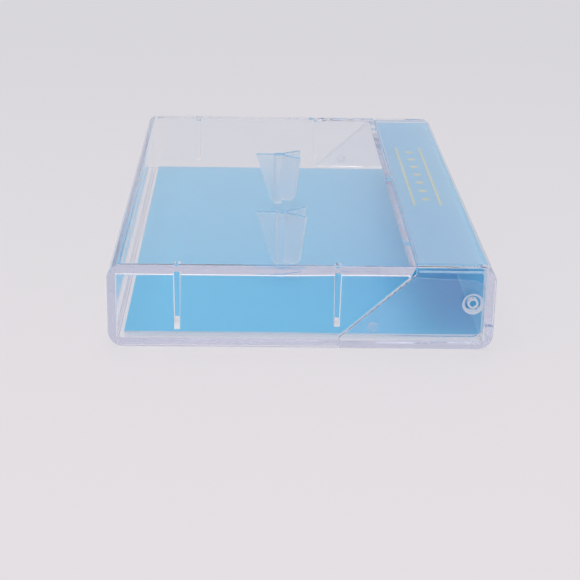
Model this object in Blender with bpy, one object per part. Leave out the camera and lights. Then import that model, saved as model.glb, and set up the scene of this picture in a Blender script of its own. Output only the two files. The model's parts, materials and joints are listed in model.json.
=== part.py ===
"""Clear hinged storage case of the tape-cassette style, closed, with a folded card insert.

The case lies on its cover. X runs from the opening edge (-X) to the spine (+X), Y from end to end
and Z up. The origin is at the middle of the underside. The cover half carries the spine, the lip and two
cheeks, the tray half swings on two pins in the cheeks, and the card is folded round inside the cover.
"""
import math

import bmesh
import bpy
from mathutils import Matrix, Vector

MM = 0.001

# Overall size of the closed case
WIDTH = 70.0 * MM
LENGTH = 109.0 * MM
HEIGHT = 15.8 * MM
CORNER_RADIUS = 2.8 * MM
INNER_RADIUS = 0.6 * MM

# Clearances
CLEARANCE = 0.3 * MM
SWING_CLEARANCE = 0.3 * MM
SEAM_SIDE_GAP = 0.3 * MM
SEAM_RISE = 0.14 * MM
OVERLAP = 0.3 * MM
CUT_MARGIN = 5.0 * MM

# Walls of the cover half
COVER_FLOOR = 1.3 * MM
SPINE_WALL = 1.5 * MM
LIP_THICKNESS = 1.7 * MM
CHEEK_WALL = 1.1 * MM
LIP_REACH = 14.5 * MM
LIP_EDGE_RADIUS = 0.9 * MM
CHEEK_REACH = 28.0 * MM
CHEEK_FOOT_HEIGHT = 2.15 * MM
CHEEK_SHOULDER_DROP = 1.6 * MM

# Walls of the tray half. An end wall is as thick as a cheek and its gap, and it thickens towards its arm.
TRAY_PANEL = 2.05 * MM
OPENING_WALL = 1.4 * MM
ARM_THICKNESS = 0.8 * MM
ARM_TAPER = 8.0 * MM
END_WALL = CHEEK_WALL + CLEARANCE
EDGE_KINK_DROP = 0.3 * MM

# Hinge: a pin on each arm of the tray in a hole of each cheek
PIVOT_FROM_SPINE = 4.05 * MM
PIVOT_FROM_TOP = 6.9 * MM
PIN_DIAMETER = 2.0 * MM
PIN_CLEARANCE = 0.325 * MM
PIN_RECESS = 0.25 * MM
PIN_DIMPLE_DIAMETER = 1.25 * MM
PIN_DIMPLE_DEPTH = 0.5 * MM
COUNTERSINK_DIAMETER = 3.9 * MM
COUNTERSINK_DEPTH = 0.6 * MM
ARM_PIN_WALL = 1.2 * MM
ARM_FLOOR_GAP = 0.75 * MM
ARM_TRAY_DROP = 2.2 * MM
ARM_SPINE_DROP = 2.8 * MM
ARM_CORNER_RADIUS = 2.0 * MM
ARM_LAP = 0.5 * MM

# Detent: a low bump on each arm facing a dimple in each cheek
DETENT_FROM_SPINE = 22.0 * MM
DETENT_HEIGHT = 4.0 * MM
DETENT_BUMP_DIAMETER = 1.6 * MM
DETENT_BUMP_TIP_DIAMETER = 1.0 * MM
DETENT_BUMP_HEIGHT = 0.15 * MM
DETENT_DIMPLE_DIAMETER = 2.1 * MM
DETENT_DIMPLE_DEPTH = 0.5 * MM

# Ribs inside the end walls, given by their distance from the opening edge
RIB_PLACES = (12.5 * MM, 41.5 * MM)
RIB_WIDTH = 1.25 * MM
RIB_DEPTH = 2.2 * MM
RIB_TOE = 0.25 * MM
RIB_LEAD_IN = 2.0 * MM
RIB_FOOT_GAP = 1.2 * MM

# Hub prongs that hang from the tray's panel
PRONG_SPACING = 42.5 * MM
PRONG_FROM_OPENING = 31.8 * MM
PRONG_TIP_GAP = 1.05 * MM
PRONG_CORE_ROOT_DIAMETER = 2.6 * MM
PRONG_CORE_TIP_DIAMETER = 1.9 * MM
FIN_THICKNESS = 0.9 * MM
FIN_TIP_RADIUS = 1.2 * MM
FIN_FOOT_RISE = 0.5 * MM
BACK_FIN_ROOT = 5.2 * MM
BACK_FIN_TIP = 2.2 * MM
SIDE_FIN_ROOT = 5.8 * MM
SIDE_FIN_TIP = 4.4 * MM
SIDE_FIN_ANGLE = 34.0

# Card insert
CARD_THICKNESS = 0.35 * MM
CARD_BEND = 0.9 * MM
CARD_OPENING_GAP = 1.0 * MM
CARD_END_GAP = 1.6 * MM
CARD_LIP_SETBACK = 0.8 * MM

# Facets
ARC_STEPS = 6
ROUND_SIDES = 24

# Places worked out from the sizes above
OPENING_FACE = -WIDTH / 2
SPINE_FACE = WIDTH / 2
END_FACE = LENGTH / 2
PIVOT = Vector((SPINE_FACE - PIVOT_FROM_SPINE, 0.0, HEIGHT - PIVOT_FROM_TOP))
LIP_EDGE = SPINE_FACE - LIP_REACH
CHEEK_FOOT = SPINE_FACE - CHEEK_REACH
CHEEK_INNER = END_FACE - CHEEK_WALL
END_WALL_INNER = END_FACE - END_WALL
SPINE_INNER = SPINE_FACE - SPINE_WALL
OPENING_INNER = OPENING_FACE + OPENING_WALL
LIP_UNDERSIDE = HEIGHT - LIP_THICKNESS
PANEL_UNDERSIDE = HEIGHT - TRAY_PANEL
ARM_OUTER = CHEEK_INNER - CLEARANCE
ARM_INNER = ARM_OUTER - ARM_THICKNESS
ARM_END = PIVOT.x + PIN_DIAMETER / 2 + ARM_PIN_WALL
ARM_FOOT = COVER_FLOOR + ARM_FLOOR_GAP
SEAM_KINK = PANEL_UNDERSIDE - EDGE_KINK_DROP
TRAY_FOOT = CHEEK_FOOT - SEAM_SIDE_GAP
FLOOR_EDGE = OPENING_INNER + CLEARANCE
FLOOR_END = END_WALL_INNER - CLEARANCE
CARD_BOTTOM = COVER_FLOOR + CLEARANCE
CARD_TOP = CARD_BOTTOM + CARD_THICKNESS


def clear_scene():
    """Start from an empty scene."""
    for thing in list(bpy.data.objects):
        bpy.data.objects.remove(thing, do_unlink=True)


def new_collection(name):
    collection = bpy.data.collections.new(name)
    bpy.context.scene.collection.children.link(collection)
    return collection


def clear_plastic(name, colour, roughness):
    """A Principled material for clear moulded polystyrene."""
    material = bpy.data.materials.new(name)
    material.use_nodes = True
    shader = material.node_tree.nodes["Principled BSDF"]
    shader.inputs["Base Color"].default_value = (*colour, 1.0)
    shader.inputs["Roughness"].default_value = roughness
    shader.inputs["Metallic"].default_value = 0.0
    shader.inputs["Transmission Weight"].default_value = 1.0
    shader.inputs["IOR"].default_value = 1.59
    return material


def printed_card(name, colour, roughness):
    """A Principled material for coated card."""
    material = bpy.data.materials.new(name)
    material.use_nodes = True
    shader = material.node_tree.nodes["Principled BSDF"]
    shader.inputs["Base Color"].default_value = (*colour, 1.0)
    shader.inputs["Roughness"].default_value = roughness
    shader.inputs["Metallic"].default_value = 0.0
    return material


def rounded_outline(corners):
    """Points of a closed outline from corners of (x, z, radius), each round one as an arc."""
    points = []
    count = len(corners)
    for index, (x, z, radius) in enumerate(corners):
        here = Vector((x, z))
        if radius == 0.0:
            points.append(here)
            continue
        before = (Vector(corners[index - 1][:2]) - here).normalized()
        after = (Vector(corners[(index + 1) % count][:2]) - here).normalized()
        half_angle = before.angle(after) / 2
        middle = here + (before + after).normalized() * radius / math.sin(half_angle)
        start = here + before * radius / math.tan(half_angle) - middle
        end = here + after * radius / math.tan(half_angle) - middle
        turn = start.angle_signed(end)
        for step in range(ARC_STEPS + 1):
            points.append(middle + Matrix.Rotation(-turn * step / ARC_STEPS, 2) @ start)
    return points


def plate(name, outline, low, high, collection, upright=True):
    """A flat outline made solid: in X and Z between two values of Y, or lying in X and Y between two of Z."""
    curve = bpy.data.curves.new(name, "CURVE")
    curve.dimensions = "2D"
    curve.fill_mode = "BOTH"
    curve.extrude = (high - low) / 2
    spline = curve.splines.new("POLY")
    spline.points.add(len(outline) - 1)
    for point, place in zip(spline.points, outline):
        point.co = (place[0], place[1], 0.0, 1.0)
    spline.use_cyclic_u = True
    drawn = bpy.data.objects.new(name + "_outline", curve)
    collection.objects.link(drawn)
    bpy.context.view_layer.update()
    mesh = bpy.data.meshes.new_from_object(drawn.evaluated_get(bpy.context.evaluated_depsgraph_get()))
    bpy.data.objects.remove(drawn, do_unlink=True)
    bpy.data.curves.remove(curve)
    mesh.name = name
    for vertex in mesh.vertices:
        across, along, side = vertex.co
        end = high if side > 0.0 else low
        vertex.co = (across, end, along) if upright else (across, along, end)
    return solid(name, weld(mesh), collection)


def weld(mesh):
    """Close the loose caps of a converted curve and turn its faces outwards."""
    shape = bmesh.new()
    shape.from_mesh(mesh)
    bmesh.ops.remove_doubles(shape, verts=shape.verts, dist=0.001 * MM)
    bmesh.ops.recalc_face_normals(shape, faces=shape.faces)
    shape.to_mesh(mesh)
    shape.free()
    return mesh


def solid(name, mesh, collection):
    thing = bpy.data.objects.new(name, mesh)
    collection.objects.link(thing)
    return thing


def tapered_round(name, start, end, start_diameter, end_diameter, collection):
    """A cylinder or cone between two points."""
    axis = end - start
    shape = bmesh.new()
    bmesh.ops.create_cone(
        shape,
        cap_ends=True,
        segments=ROUND_SIDES,
        radius1=start_diameter / 2,
        radius2=end_diameter / 2,
        depth=axis.length,
    )
    turn = Vector((0.0, 0.0, 1.0)).rotation_difference(axis).to_matrix().to_4x4()
    bmesh.ops.transform(shape, matrix=Matrix.Translation((start + end) / 2) @ turn, verts=shape.verts)
    mesh = bpy.data.meshes.new(name)
    shape.to_mesh(mesh)
    shape.free()
    return solid(name, mesh, collection)


def block(name, low, high, collection):
    """A box between two corners."""
    shape = bmesh.new()
    bmesh.ops.create_cube(shape, size=1.0)
    for vertex in shape.verts:
        vertex.co = [high[axis] if vertex.co[axis] > 0.0 else low[axis] for axis in range(3)]
    mesh = bpy.data.meshes.new(name)
    shape.to_mesh(mesh)
    shape.free()
    return solid(name, mesh, collection)


def combine(target, tool, operation):
    """Cut a tool out of a piece, or add it to the piece, and keep the tool as a hidden guide."""
    tool.hide_render = True
    tool.display_type = "WIRE"
    step = target.modifiers.new(tool.name, "BOOLEAN")
    step.operation = operation
    step.solver = "EXACT"
    step.object = tool


def at_both_ends(low, high):
    """The same stretch of Y at the near end and at the far end."""
    return (("near", -high, -low), ("far", low, high))


def swing_edge(z):
    """X of the tray's hinge-side edge at a height, on the circle that clears the lip's corner."""
    lip_radius = math.hypot(LIP_EDGE - PIVOT.x, HEIGHT - PIVOT.z)
    radius = lip_radius + SWING_CLEARANCE
    return PIVOT.x - math.sqrt(radius ** 2 - (z - PIVOT.z) ** 2)


def arm_upper_edge(x):
    """Z of an arm's upper edge, which falls from the tray's panel towards the spine."""
    start = swing_edge(SEAM_KINK)
    fall = (ARM_SPINE_DROP - ARM_TRAY_DROP) / (ARM_END - start)
    return HEIGHT - ARM_TRAY_DROP - fall * (x - start)


def slot_floor():
    """Lowest Z of the slots in the spine, so that the arms pass when the tray lies open at 180 degrees."""
    return 2 * PIVOT.z - arm_upper_edge(2 * PIVOT.x - SPINE_FACE) - CLEARANCE


def make_cover_half(parts, guides):
    """Floor, spine, lip and cheeks: one bar with the cover's end outline, hollowed between the cheeks."""
    outline = rounded_outline([
        (FLOOR_EDGE, 0.0, 0.0),
        (SPINE_FACE, 0.0, CORNER_RADIUS),
        (SPINE_FACE, HEIGHT, CORNER_RADIUS),
        (LIP_EDGE, HEIGHT, 0.0),
        (LIP_EDGE, HEIGHT - CHEEK_SHOULDER_DROP, 0.0),
        (CHEEK_FOOT, CHEEK_FOOT_HEIGHT, 0.0),
        (CHEEK_FOOT, COVER_FLOOR, 0.0),
        (FLOOR_EDGE, COVER_FLOOR, 0.0),
    ])
    cover = plate("cover_half", outline, -END_FACE, END_FACE, parts)
    hollow = rounded_outline([
        (OPENING_FACE - CUT_MARGIN, COVER_FLOOR, 0.0),
        (SPINE_INNER, COVER_FLOOR, INNER_RADIUS),
        (SPINE_INNER, LIP_UNDERSIDE, INNER_RADIUS),
        (LIP_EDGE, LIP_UNDERSIDE, LIP_EDGE_RADIUS),
        (LIP_EDGE, HEIGHT + CUT_MARGIN, 0.0),
        (OPENING_FACE - CUT_MARGIN, HEIGHT + CUT_MARGIN, 0.0),
    ])
    combine(cover, plate("cover_hollow", hollow, -CHEEK_INNER, CHEEK_INNER, guides), "DIFFERENCE")
    for end, low, high in at_both_ends(FLOOR_END, END_FACE + CUT_MARGIN):
        low_corner = Vector((OPENING_FACE - CUT_MARGIN, low, -CUT_MARGIN))
        high_corner = Vector((CHEEK_FOOT, high, HEIGHT + CUT_MARGIN))
        combine(cover, block(f"floor_notch_{end}", low_corner, high_corner, guides), "DIFFERENCE")
    for end, low, high in at_both_ends(ARM_INNER - CLEARANCE, CHEEK_INNER):
        low_corner = Vector((CHEEK_FOOT, low, slot_floor()))
        high_corner = Vector((SPINE_FACE + CUT_MARGIN, high, HEIGHT + CUT_MARGIN))
        combine(cover, block(f"arm_slot_{end}", low_corner, high_corner, guides), "DIFFERENCE")
    for end, side in (("near", -1), ("far", 1)):
        cut_hinge_hole(cover, end, side, guides)
        cut_detent_dimple(cover, end, side, guides)
    return cover


def cut_hinge_hole(cover, end, side, guides):
    """A hole through a cheek with a countersunk rim outside."""
    hole = PIN_DIAMETER + 2 * PIN_CLEARANCE
    inner = PIVOT + Vector((0.0, side * (CHEEK_INNER - CLEARANCE), 0.0))
    rim = PIVOT + Vector((0.0, side * END_FACE, 0.0))
    outside = rim + Vector((0.0, side * COUNTERSINK_DEPTH, 0.0))
    combine(cover, tapered_round(f"hinge_hole_{end}", inner, outside, hole, hole, guides), "DIFFERENCE")
    bottom = rim - Vector((0.0, side * COUNTERSINK_DEPTH, 0.0))
    wide = 2 * COUNTERSINK_DIAMETER - hole
    combine(cover, tapered_round(f"countersink_{end}", bottom, outside, hole, wide, guides), "DIFFERENCE")


def detent_point(y):
    return Vector((SPINE_FACE - DETENT_FROM_SPINE, y, DETENT_HEIGHT))


def cut_detent_dimple(cover, end, side, guides):
    """A shallow dimple in the inner face of a cheek."""
    start = detent_point(side * (CHEEK_INNER - CLEARANCE / 2))
    bottom = detent_point(side * (CHEEK_INNER + DETENT_DIMPLE_DEPTH))
    tool = tapered_round(
        f"detent_dimple_{end}", start, bottom, DETENT_DIMPLE_DIAMETER, DETENT_BUMP_DIAMETER, guides
    )
    combine(cover, tool, "DIFFERENCE")


def make_tray_half(parts, guides):
    """Panel, opening wall, end walls and arms as one hollowed bar, with pins, ribs and prongs added to it."""
    outline = rounded_outline([
        (OPENING_FACE, 0.0, CORNER_RADIUS),
        (TRAY_FOOT, 0.0, 0.0),
        (TRAY_FOOT, CHEEK_FOOT_HEIGHT + SEAM_RISE, 0.0),
        (swing_edge(SEAM_KINK), SEAM_KINK, 0.0),
        (swing_edge(HEIGHT), HEIGHT, 0.0),
        (OPENING_FACE, HEIGHT, CORNER_RADIUS),
    ])
    tray = plate("tray_half", outline, -END_FACE, END_FACE, parts)
    for end, low, high in at_both_ends(ARM_INNER - OVERLAP, ARM_OUTER):
        combine(tray, plate(f"arm_{end}", arm_outline(), low, high, guides), "UNION")
    hollow = plate("tray_hollow", tray_plan(), 0.0, PANEL_UNDERSIDE, guides, upright=False)
    combine(tray, hollow, "DIFFERENCE")
    low_corner = Vector((OPENING_INNER, -END_WALL_INNER, -CUT_MARGIN))
    high_corner = Vector((SPINE_FACE, END_WALL_INNER, ARM_FOOT))
    combine(tray, block("tray_hollow_foot", low_corner, high_corner, guides), "DIFFERENCE")
    for end, side in (("near", -1), ("far", 1)):
        add_pin(tray, end, side, guides)
        add_detent_bump(tray, end, side, guides)
        add_ribs(tray, end, side, guides)
        add_prong(tray, end, side, guides)
    return tray


def tray_plan():
    """The tray's hollow seen from above: it narrows where the end walls thicken towards the arms."""
    arm_start = TRAY_FOOT - ARM_LAP
    half = [
        (OPENING_INNER, END_WALL_INNER),
        (arm_start - ARM_TAPER, END_WALL_INNER),
        (arm_start, ARM_INNER),
        (SPINE_FACE, ARM_INNER),
    ]
    return half + [(x, -y) for x, y in reversed(half)]


def arm_outline():
    """A flat arm from the tray's end wall that fills the space behind a cheek up to the pivot."""
    panel_edge = swing_edge(SEAM_KINK)
    return rounded_outline([
        (TRAY_FOOT - ARM_LAP, ARM_FOOT, 0.0),
        (ARM_END, ARM_FOOT, ARM_CORNER_RADIUS),
        (ARM_END, arm_upper_edge(ARM_END), ARM_CORNER_RADIUS),
        (panel_edge, arm_upper_edge(panel_edge), 0.0),
        (panel_edge - ARM_LAP, arm_upper_edge(panel_edge), 0.0),
    ])


def add_pin(tray, end, side, guides):
    """A hinge pin on an arm, with a dimple in its end."""
    root = PIVOT + Vector((0.0, side * (ARM_OUTER - OVERLAP), 0.0))
    tip = PIVOT + Vector((0.0, side * (END_FACE - PIN_RECESS), 0.0))
    combine(tray, tapered_round(f"pin_{end}", root, tip, PIN_DIAMETER, PIN_DIAMETER, guides), "UNION")
    outside = tip + Vector((0.0, side * PIN_DIMPLE_DEPTH, 0.0))
    bottom = tip - Vector((0.0, side * PIN_DIMPLE_DEPTH, 0.0))
    tool = tapered_round(
        f"pin_dimple_{end}", bottom, outside, PIN_DIMPLE_DIAMETER, PIN_DIMPLE_DIAMETER, guides
    )
    combine(tray, tool, "DIFFERENCE")


def add_detent_bump(tray, end, side, guides):
    """A low round bump on the outside of an arm."""
    root = detent_point(side * (ARM_OUTER - OVERLAP))
    tip = detent_point(side * (ARM_OUTER + DETENT_BUMP_HEIGHT))
    tool = tapered_round(
        f"detent_bump_{end}", root, tip, DETENT_BUMP_DIAMETER, DETENT_BUMP_TIP_DIAMETER, guides
    )
    combine(tray, tool, "UNION")


def add_ribs(tray, end, side, guides):
    """Upright ribs inside an end wall, with a slanted foot that guides the contents in."""
    foot = CARD_TOP + RIB_FOOT_GAP
    root = PANEL_UNDERSIDE + OVERLAP
    outline = [
        (-OVERLAP, foot),
        (RIB_TOE, foot),
        (RIB_DEPTH, foot + RIB_LEAD_IN),
        (RIB_DEPTH, root),
        (-OVERLAP, root),
    ]
    for number, place in enumerate(RIB_PLACES, start=1):
        tool = plate(f"rib_{end}_{number}", outline, -RIB_WIDTH / 2, RIB_WIDTH / 2, guides)
        tool.rotation_euler = (0.0, 0.0, -side * math.pi / 2)
        tool.location = (OPENING_FACE + place, side * END_WALL_INNER, 0.0)
        combine(tray, tool, "UNION")


def add_prong(tray, end, side, guides):
    """A hub prong: a tapered core with one fin towards the opening edge and two towards the spine."""
    foot = Vector((OPENING_FACE + PRONG_FROM_OPENING, side * PRONG_SPACING / 2, CARD_TOP + PRONG_TIP_GAP))
    root = Vector((foot.x, foot.y, PANEL_UNDERSIDE + OVERLAP))
    core = tapered_round(
        f"prong_core_{end}", foot, root, PRONG_CORE_TIP_DIAMETER, PRONG_CORE_ROOT_DIAMETER, guides
    )
    combine(tray, core, "UNION")
    fins = (
        ("back", 180.0, BACK_FIN_ROOT, BACK_FIN_TIP),
        ("left", SIDE_FIN_ANGLE, SIDE_FIN_ROOT, SIDE_FIN_TIP),
        ("right", -SIDE_FIN_ANGLE, SIDE_FIN_ROOT, SIDE_FIN_TIP),
    )
    for fin, angle, root_reach, tip_reach in fins:
        fin_foot = foot.z + FIN_FOOT_RISE
        outline = rounded_outline([
            (0.0, fin_foot, 0.0),
            (tip_reach, fin_foot, FIN_TIP_RADIUS),
            (root_reach, root.z, 0.0),
            (0.0, root.z, 0.0),
        ])
        tool = plate(f"prong_fin_{fin}_{end}", outline, -FIN_THICKNESS / 2, FIN_THICKNESS / 2, guides)
        tool.rotation_euler = (0.0, 0.0, math.radians(angle))
        tool.location = (foot.x, foot.y, 0.0)
        combine(tray, tool, "UNION")


def make_card_insert(parts):
    """A card strip folded along the spine: floor panel, spine panel and flap."""
    free_edge = FLOOR_EDGE + CARD_OPENING_GAP
    flap_edge = LIP_EDGE + CARD_LIP_SETBACK
    outer_spine = SPINE_INNER - CLEARANCE
    inner_spine = outer_spine - CARD_THICKNESS
    flap_top = LIP_UNDERSIDE - CLEARANCE
    inner_bend = CARD_BEND - CARD_THICKNESS
    outline = rounded_outline([
        (free_edge, CARD_BOTTOM, 0.0),
        (outer_spine, CARD_BOTTOM, CARD_BEND),
        (outer_spine, flap_top, CARD_BEND),
        (flap_edge, flap_top, 0.0),
        (flap_edge, flap_top - CARD_THICKNESS, 0.0),
        (inner_spine, flap_top - CARD_THICKNESS, inner_bend),
        (inner_spine, CARD_TOP, inner_bend),
        (free_edge, CARD_TOP, 0.0),
    ])
    half_length = FLOOR_END - CARD_END_GAP
    return plate("card_insert", outline, -half_length, half_length, parts)


def hang_on_pivot(thing, parts):
    """Put a piece's origin on the hinge axis by a parent empty there."""
    pivot = bpy.data.objects.new("hinge_axis", None)
    pivot.location = PIVOT
    parts.objects.link(pivot)
    thing.parent = pivot
    thing.matrix_parent_inverse = Matrix.Translation(-PIVOT)


def main():
    clear_scene()
    parts = new_collection("clear_storage_case")
    guides = new_collection("cutters_and_guides")
    cover = make_cover_half(parts, guides)
    tray = make_tray_half(parts, guides)
    card = make_card_insert(parts)
    hang_on_pivot(tray, parts)
    cover.data.materials.append(clear_plastic("clear_cover_plastic", (0.93, 0.92, 0.97), 0.05))
    tray.data.materials.append(clear_plastic("clear_tray_plastic", (0.92, 0.92, 0.97), 0.05))
    card.data.materials.append(printed_card("blue_card", (0.11, 0.42, 0.72), 0.45))
    for piece in (cover, tray, card):
        piece.data.shade_smooth()
        piece.data.set_sharp_from_angle(angle=math.radians(30.0))


main()
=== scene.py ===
# %% [markdown]
# A clear hinged storage case, of the kind made for a tape cassette, lies closed on a pale table with a
# folded blue card inside. The measured model of the case is already there as a frame: three solids, two
# bodies and one hinge. This lesson builds the looks round that frame, so every piece starts from its sizes.

# %% Load the frame and keep its box
import json
import math

import bmesh
import bpy
from mathutils import Matrix, Vector


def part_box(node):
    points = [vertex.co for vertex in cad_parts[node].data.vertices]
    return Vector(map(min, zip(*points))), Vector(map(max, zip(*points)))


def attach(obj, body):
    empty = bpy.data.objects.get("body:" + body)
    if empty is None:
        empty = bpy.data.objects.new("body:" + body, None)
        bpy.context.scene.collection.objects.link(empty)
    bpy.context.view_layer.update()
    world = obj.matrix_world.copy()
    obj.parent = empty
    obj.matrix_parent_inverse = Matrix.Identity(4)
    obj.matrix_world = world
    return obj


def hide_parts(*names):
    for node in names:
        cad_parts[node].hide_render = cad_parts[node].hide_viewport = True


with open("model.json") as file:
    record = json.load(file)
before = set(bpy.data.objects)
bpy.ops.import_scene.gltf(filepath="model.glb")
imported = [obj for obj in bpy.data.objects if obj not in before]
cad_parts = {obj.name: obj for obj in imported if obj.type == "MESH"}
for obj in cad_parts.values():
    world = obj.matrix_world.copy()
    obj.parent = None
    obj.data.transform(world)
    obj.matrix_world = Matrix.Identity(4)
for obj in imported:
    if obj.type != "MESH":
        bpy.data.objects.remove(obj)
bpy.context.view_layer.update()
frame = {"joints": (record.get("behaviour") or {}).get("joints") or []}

MM = 0.001
scene = bpy.context.scene

# %% [markdown]
# The camera stands where the photographer stood. Its place and its three turns were found by matching the
# corners of the case with those in the picture. A matrix made from the right, up and forward directions is
# the plain way to set such a view, because no order of turns has to be remembered.

# %% Camera
IMAGE_SIDE = 580
FOCAL_PIXELS = 1470.53
SENSOR = 36.0
NEAR_CLIP = 10.0 * MM
CAMERA_PLACE = Vector((-9.15, -301.03, 104.93)) * MM
CAMERA_YAW = math.radians(1.619)
CAMERA_PITCH = math.radians(20.794)
CAMERA_ROLL = math.radians(1.164)


def camera_axes(yaw, pitch, roll):
    """Right, up and forward directions of a turned, tipped and rolled camera."""
    level = math.cos(pitch)
    forward = Vector((math.sin(yaw) * level, math.cos(yaw) * level, -math.sin(pitch)))
    right = Vector((math.cos(yaw), -math.sin(yaw), 0.0))
    up = right.cross(forward)
    rolled_right = math.cos(roll) * right + math.sin(roll) * up
    rolled_up = math.cos(roll) * up - math.sin(roll) * right
    return rolled_right, rolled_up, forward


right, up, forward = camera_axes(CAMERA_YAW, CAMERA_PITCH, CAMERA_ROLL)
camera = bpy.data.objects.new("camera", bpy.data.cameras.new("camera"))
scene.collection.objects.link(camera)
camera.data.sensor_width = SENSOR
camera.data.lens = SENSOR * FOCAL_PIXELS / IMAGE_SIDE
camera.data.clip_start = NEAR_CLIP
camera.matrix_world = Matrix.Translation(CAMERA_PLACE) @ Matrix((right, up, -forward)).transposed().to_4x4()
scene.camera = camera
print("lens", round(camera.data.lens, 2), "mm")

# %% [markdown]
# The picture looks as if taken in a white tent: light comes from all sides and the shadow under the case is
# almost gone. A world of one pale colour gives that light, and one broad lamp overhead adds a soft top.
# Light passes many walls of clear plastic before it reaches the eye, so the bounce limits are raised.
# Filter Glossy is off, because it would blur what is seen through those walls.

# %% World, lamp and light bounces
scene.view_settings.view_transform = "Standard"
scene.cycles.max_bounces = 128
scene.cycles.glossy_bounces = 96
scene.cycles.transmission_bounces = 64
scene.cycles.diffuse_bounces = 6
scene.cycles.blur_glossy = 0.0

TENT_COLOUR = (0.975, 0.965, 1.0, 1.0)
TENT_STRENGTH = 0.70
world = bpy.data.worlds.new("white tent")
world.use_nodes = True
tent = world.node_tree.nodes["Background"]
tent.inputs["Color"].default_value = TENT_COLOUR
tent.inputs["Strength"].default_value = TENT_STRENGTH
scene.world = world

LAMP_SIDE = 0.9
LAMP_PLACE = (-0.15, 0.1, 1.1)
LAMP_POWER = 3.6
lamp = bpy.data.objects.new("top_lamp", bpy.data.lights.new("top_lamp", "AREA"))
lamp.data.shape = "SQUARE"
lamp.data.size = LAMP_SIDE
lamp.data.energy = LAMP_POWER
lamp.location = LAMP_PLACE
scene.collection.objects.link(lamp)
print("tent strength", TENT_STRENGTH, "lamp", LAMP_POWER, "W")

# %% [markdown]
# A node tree is easier to read when each node is made in one line. These helpers make a material with its
# shader, fill the inputs of a node, add any node, and add a Math node. Every tree below uses them.

# %% Helpers for node trees


def new_material(name):
    """A node material and its Principled shader."""
    material = bpy.data.materials.new(name)
    material.use_nodes = True
    return material, material.node_tree, material.node_tree.nodes["Principled BSDF"]


def fill(tree, made, **links):
    """Fill a node's inputs, by name or number, with values or other nodes' sockets."""
    for name, value in links.items():
        socket = made.inputs[int(name[1:])] if name[1:].isdigit() else made.inputs[name.replace("_", " ")]
        if isinstance(value, bpy.types.NodeSocket):
            tree.links.new(value, socket)
        else:
            socket.default_value = value


def node(tree, kind, settings=None, **links):
    """Add a node, set its properties, fill its inputs and return its outputs."""
    made = tree.nodes.new(kind)
    for name, value in (settings or {}).items():
        setattr(made, name, value)
    fill(tree, made, **links)
    return made.outputs


def math_node(tree, operation, *values):
    """The result of one Math node."""
    links = {f"_{place}": value for place, value in enumerate(values)}
    return node(tree, "ShaderNodeMath", {"operation": operation}, **links)[0]


# %% [markdown]
# Real finishes vary a little from place to place. Noise on the object's own coordinates gives that, and it
# stays with the piece when the piece moves. A smooth step picks out part of the noise, a stretch turns it
# into a roughness, a blend turns it into a colour, and a Bump node turns it into relief. Below, each noise
# is written as its scale and detail, and each relief as its strength and depth.

# %% Helpers for patterns


def own_place(tree):
    return node(tree, "ShaderNodeTexCoord")["Object"]


def face_mark(tree, name):
    return node(tree, "ShaderNodeAttribute", {"attribute_name": name})["Fac"]


def noise(tree, place, scale, detail):
    return node(tree, "ShaderNodeTexNoise", Vector=place, Scale=scale, Detail=detail)["Fac"]


def ramp(tree, value, low, high):
    """A smooth step from 0 to 1 as a value passes from low to high."""
    step = {"interpolation_type": "SMOOTHSTEP"}
    return node(tree, "ShaderNodeMapRange", step, Value=value, From_Min=low, From_Max=high)["Result"]


def stretch(tree, share, low, high):
    """A share from 0 to 1 stretched from low to high."""
    return node(tree, "ShaderNodeMapRange", Value=share, To_Min=low, To_Max=high)["Result"]


def blend(tree, share, first, second, how="MIX"):
    """One colour passing into another."""
    settings = {"data_type": "RGBA", "blend_type": how}
    return node(tree, "ShaderNodeMix", settings, _0=share, _6=first, _7=second)[2]


def relief(tree, shader, height, strength, depth):
    """Shade a surface as if a pattern stood up from it."""
    bump = node(tree, "ShaderNodeBump", Strength=strength, Distance=depth, Height=height)
    fill(tree, shader, Normal=bump["Normal"])


# %% [markdown]
# The table is a plain pale sheet with a very soft shine. Its colour grows a little lighter towards the
# camera, as in the picture, by a ramp along its own Y coordinate; that lighter near side is painted light.
# In a tent the floor is lit from all sides
# and stays even, right up to the object. Light Path gives that: seen straight, mirrored or through plastic,
# the table glows with most of its own colour, and for all other light it is a plain sheet.

# %% Table
TABLE_RADIUS = 4.0
TABLE_SIDES = 64
TABLE_GAP = 0.08 * MM
TABLE_FAR = (0.70, 0.69, 0.725, 1.0)
TABLE_NEAR = (0.80, 0.765, 0.79, 1.0)
TABLE_FAR_Y = 0.25
TABLE_NEAR_Y = -0.22
TABLE_ROUGHNESS = 0.45
TABLE_SHINE = 0.25
TABLE_GLOW_SHARE = 0.8


def table_finish():
    material, tree, shader = new_material("pale table")
    along = node(tree, "ShaderNodeSeparateXYZ", Vector=own_place(tree))["Y"]
    # Painted light: the table's colour is lighter towards the camera.
    tone = blend(tree, ramp(tree, along, TABLE_FAR_Y, TABLE_NEAR_Y), TABLE_FAR, TABLE_NEAR)
    fill(tree, shader, Base_Color=tone, Roughness=TABLE_ROUGHNESS, Specular_IOR_Level=TABLE_SHINE)
    path = node(tree, "ShaderNodeLightPath")
    direct = math_node(tree, "MAXIMUM", path["Is Camera Ray"], path["Is Glossy Ray"])
    seen = math_node(tree, "MAXIMUM", direct, path["Is Transmission Ray"])
    share = math_node(tree, "MULTIPLY", seen, TABLE_GLOW_SHARE)
    glow = node(tree, "ShaderNodeEmission", Color=tone)[0]
    both = node(tree, "ShaderNodeMixShader", _0=share, _1=shader.outputs[0], _2=glow)[0]
    fill(tree, tree.nodes["Material Output"], Surface=both)
    return material


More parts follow.
